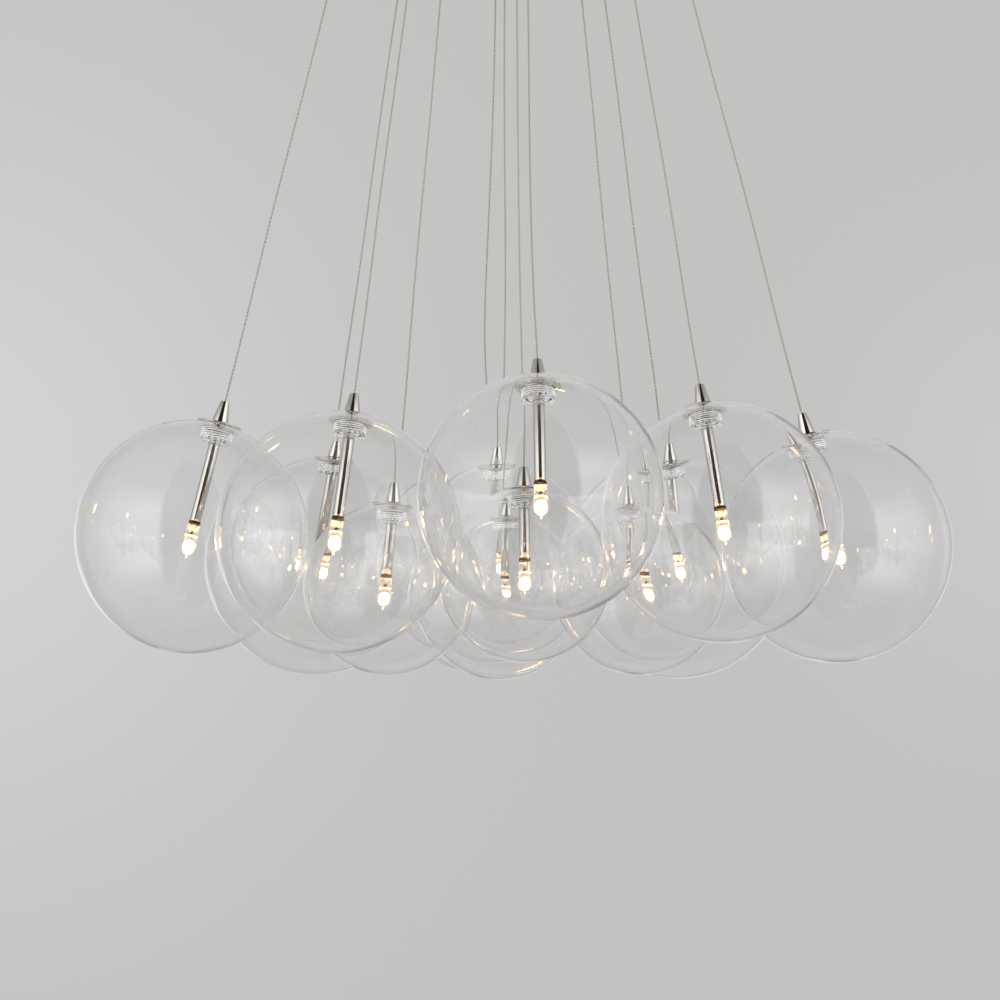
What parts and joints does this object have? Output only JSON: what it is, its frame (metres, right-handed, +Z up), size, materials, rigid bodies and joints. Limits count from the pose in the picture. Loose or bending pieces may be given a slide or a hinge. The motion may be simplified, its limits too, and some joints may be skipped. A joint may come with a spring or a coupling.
{
  "type": "cluster pendant light",
  "caption": "Cluster pendant of clear glass globes that lean outward on thin cables from a round canopy, each with a polished stem and a capsule lamp.",
  "frame": {"origin": "centre of the four fixing holes, on the face that meets the ceiling", "axes": "+Z up into the ceiling, -Y towards the viewer, +X to the viewer's right"},
  "size_m": [0.6058, 0.6345, 0.555],
  "materials": {
    "clear_glass": "blown clear glass, polished",
    "lamp_glass": "clear quartz capsule, lit",
    "polished_chrome": "bright chrome plate",
    "zinc_plated_steel": "zinc plated",
    "white_polycarbonate": "moulded",
    "cable_sleeve": "clear sleeve over tinned braid"
  },
  "bodies": {
    "canopy": {"ceiling_plate": "zinc_plated_steel", "canopy_cover": "polished_chrome", "cable_bushes": "polished_chrome", "canopy_posts": "zinc_plated_steel", "canopy_nuts": "polished_chrome", "transformer": "white_polycarbonate", "transformer_screws": "zinc_plated_steel", "mains_terminal": "white_polycarbonate", "lamp_terminals": "white_polycarbonate", "earth_screw": "zinc_plated_steel"},
    "right_suspension": {"right_cable": "cable_sleeve"},
    "right_light": {"right_fitting": "polished_chrome", "right_globe": "clear_glass", "right_lamp": "lamp_glass"},
    "back_right_suspension": {"back_right_cable": "cable_sleeve"},
    "back_right_light": {"back_right_fitting": "polished_chrome", "back_right_globe": "clear_glass", "back_right_lamp": "lamp_glass"},
    "back_suspension": {"back_cable": "cable_sleeve"},
    "back_light": {"back_fitting": "polished_chrome", "back_globe": "clear_glass", "back_lamp": "lamp_glass"},
    "back_left_suspension": {"back_left_cable": "cable_sleeve"},
    "back_left_light": {"back_left_fitting": "polished_chrome", "back_left_globe": "clear_glass", "back_left_lamp": "lamp_glass"},
    "left_suspension": {"left_cable": "cable_sleeve"},
    "left_light": {"left_fitting": "polished_chrome", "left_globe": "clear_glass", "left_lamp": "lamp_glass"},
    "front_left_suspension": {"front_left_cable": "cable_sleeve"},
    "front_left_light": {"front_left_fitting": "polished_chrome", "front_left_globe": "clear_glass", "front_left_lamp": "lamp_glass"},
    "front_suspension": {"front_cable": "cable_sleeve"},
    "front_light": {"front_fitting": "polished_chrome", "front_globe": "clear_glass", "front_lamp": "lamp_glass"},
    "front_right_suspension": {"front_right_cable": "cable_sleeve"},
    "front_right_light": {"front_right_fitting": "polished_chrome", "front_right_globe": "clear_glass", "front_right_lamp": "lamp_glass"},
    "inner_right_light": {"inner_right_cable": "cable_sleeve", "inner_right_fitting": "polished_chrome", "inner_right_globe": "clear_glass", "inner_right_lamp": "lamp_glass"},
    "inner_back_light": {"inner_back_cable": "cable_sleeve", "inner_back_fitting": "polished_chrome", "inner_back_globe": "clear_glass", "inner_back_lamp": "lamp_glass"},
    "inner_left_light": {"inner_left_cable": "cable_sleeve", "inner_left_fitting": "polished_chrome", "inner_left_globe": "clear_glass", "inner_left_lamp": "lamp_glass"},
    "inner_front_light": {"inner_front_cable": "cable_sleeve", "inner_front_fitting": "polished_chrome", "inner_front_globe": "clear_glass", "inner_front_lamp": "lamp_glass"}
  },
  "joints": [
    {"name": "right_swing", "type": "hinge", "parent": "canopy", "child": "right_suspension", "pos_m": [0.116, 0, -0.0339], "axis": [-0.0262, -0.9997, 0], "range_deg": [0, 20]},
    {"name": "right_turn", "type": "hinge", "parent": "right_suspension", "child": "right_light", "pos_m": [0.22392, -0.00586, -0.46661], "axis": [-0.242, 0.0131, 0.9702], "range_deg": [-180, 180]},
    {"name": "back_right_swing", "type": "hinge", "parent": "canopy", "child": "back_right_suspension", "pos_m": [0.0693, 0.0693, -0.0339], "axis": [0.7254, -0.6884, 0], "range_deg": [0, 20]},
    {"name": "back_right_turn", "type": "hinge", "parent": "back_right_suspension", "child": "back_right_light", "pos_m": [0.13148, 0.13855, -0.46701], "axis": [-0.1404, -0.1563, 0.9777], "range_deg": [-180, 180]},
    {"name": "back_swing", "type": "hinge", "parent": "canopy", "child": "back_suspension", "pos_m": [0, 0.116, -0.0339], "axis": [0.9998, -0.0175, 0], "range_deg": [0, 20]},
    {"name": "back_turn", "type": "hinge", "parent": "back_suspension", "child": "back_light", "pos_m": [0.00415, 0.23796, -0.45768], "axis": [-0.0094, -0.2766, 0.9609], "range_deg": [-180, 180]},
    {"name": "back_left_swing", "type": "hinge", "parent": "canopy", "child": "back_left_suspension", "pos_m": [-0.0693, 0.0693, -0.0339], "axis": [0.7513, 0.66, 0], "range_deg": [0, 20]},
    {"name": "back_left_turn", "type": "hinge", "parent": "back_left_suspension", "child": "back_left_light", "pos_m": [-0.12804, 0.14575, -0.46423], "axis": [0.1332, -0.1734, 0.9758], "range_deg": [-180, 180]},
    {"name": "left_swing", "type": "hinge", "parent": "canopy", "child": "left_suspension", "pos_m": [-0.116, 0, -0.0339], "axis": [-0.0175, 0.9998, 0], "range_deg": [0, 20]},
    {"name": "left_turn", "type": "hinge", "parent": "left_suspension", "child": "left_light", "pos_m": [-0.22197, -0.00387, -0.46093], "axis": [0.2408, 0.0088, 0.9705], "range_deg": [-180, 180]},
    {"name": "front_left_swing", "type": "hinge", "parent": "canopy", "child": "front_left_suspension", "pos_m": [-0.0693, -0.0693, -0.0339], "axis": [-0.7254, 0.6884, 0], "range_deg": [0, 20]},
    {"name": "front_left_turn", "type": "hinge", "parent": "front_left_suspension", "child": "front_left_light", "pos_m": [-0.1301, -0.1371, -0.47153], "axis": [0.136, 0.1517, 0.979], "range_deg": [-180, 180]},
    {"name": "front_swing", "type": "hinge", "parent": "canopy", "child": "front_suspension", "pos_m": [0, -0.116, -0.0339], "axis": [-0.9998, 0.0175, 0], "range_deg": [0, 20]},
    {"name": "front_turn", "type": "hinge", "parent": "front_suspension", "child": "front_light", "pos_m": [-0.00413, -0.23646, -0.45811], "axis": [0.0094, 0.2732, 0.9619], "range_deg": [-180, 180]},
    {"name": "front_right_swing", "type": "hinge", "parent": "canopy", "child": "front_right_suspension", "pos_m": [0.0693, -0.0693, -0.0339], "axis": [-0.749, -0.6626, 0], "range_deg": [0, 20]},
    {"name": "front_right_turn", "type": "hinge", "parent": "front_right_suspension", "child": "front_right_light", "pos_m": [0.1259, -0.1423, -0.46409], "axis": [-0.1286, 0.1659, 0.9777], "range_deg": [-180, 180]},
    {"name": "inner_right_turn", "type": "hinge", "parent": "canopy", "child": "inner_right_light", "pos_m": [0.0875, 0, -0.49595], "axis": [-0.0916, 0, 0.9958], "range_deg": [-180, 180]},
    {"name": "inner_back_turn", "type": "hinge", "parent": "canopy", "child": "inner_back_light", "pos_m": [-0.00225, 0.08597, -0.49307], "axis": [0.0049, -0.0889, 0.996], "range_deg": [-180, 180]},
    {"name": "inner_left_turn", "type": "hinge", "parent": "canopy", "child": "inner_left_light", "pos_m": [-0.08697, 0.00228, -0.49599], "axis": [0.0905, -0.0049, 0.9959], "range_deg": [-180, 180]},
    {"name": "inner_front_turn", "type": "hinge", "parent": "canopy", "child": "inner_front_light", "pos_m": [-0.00075, -0.0855, -0.49412], "axis": [0.0016, 0.0877, 0.9961], "range_deg": [-180, 180]}
  ]
}
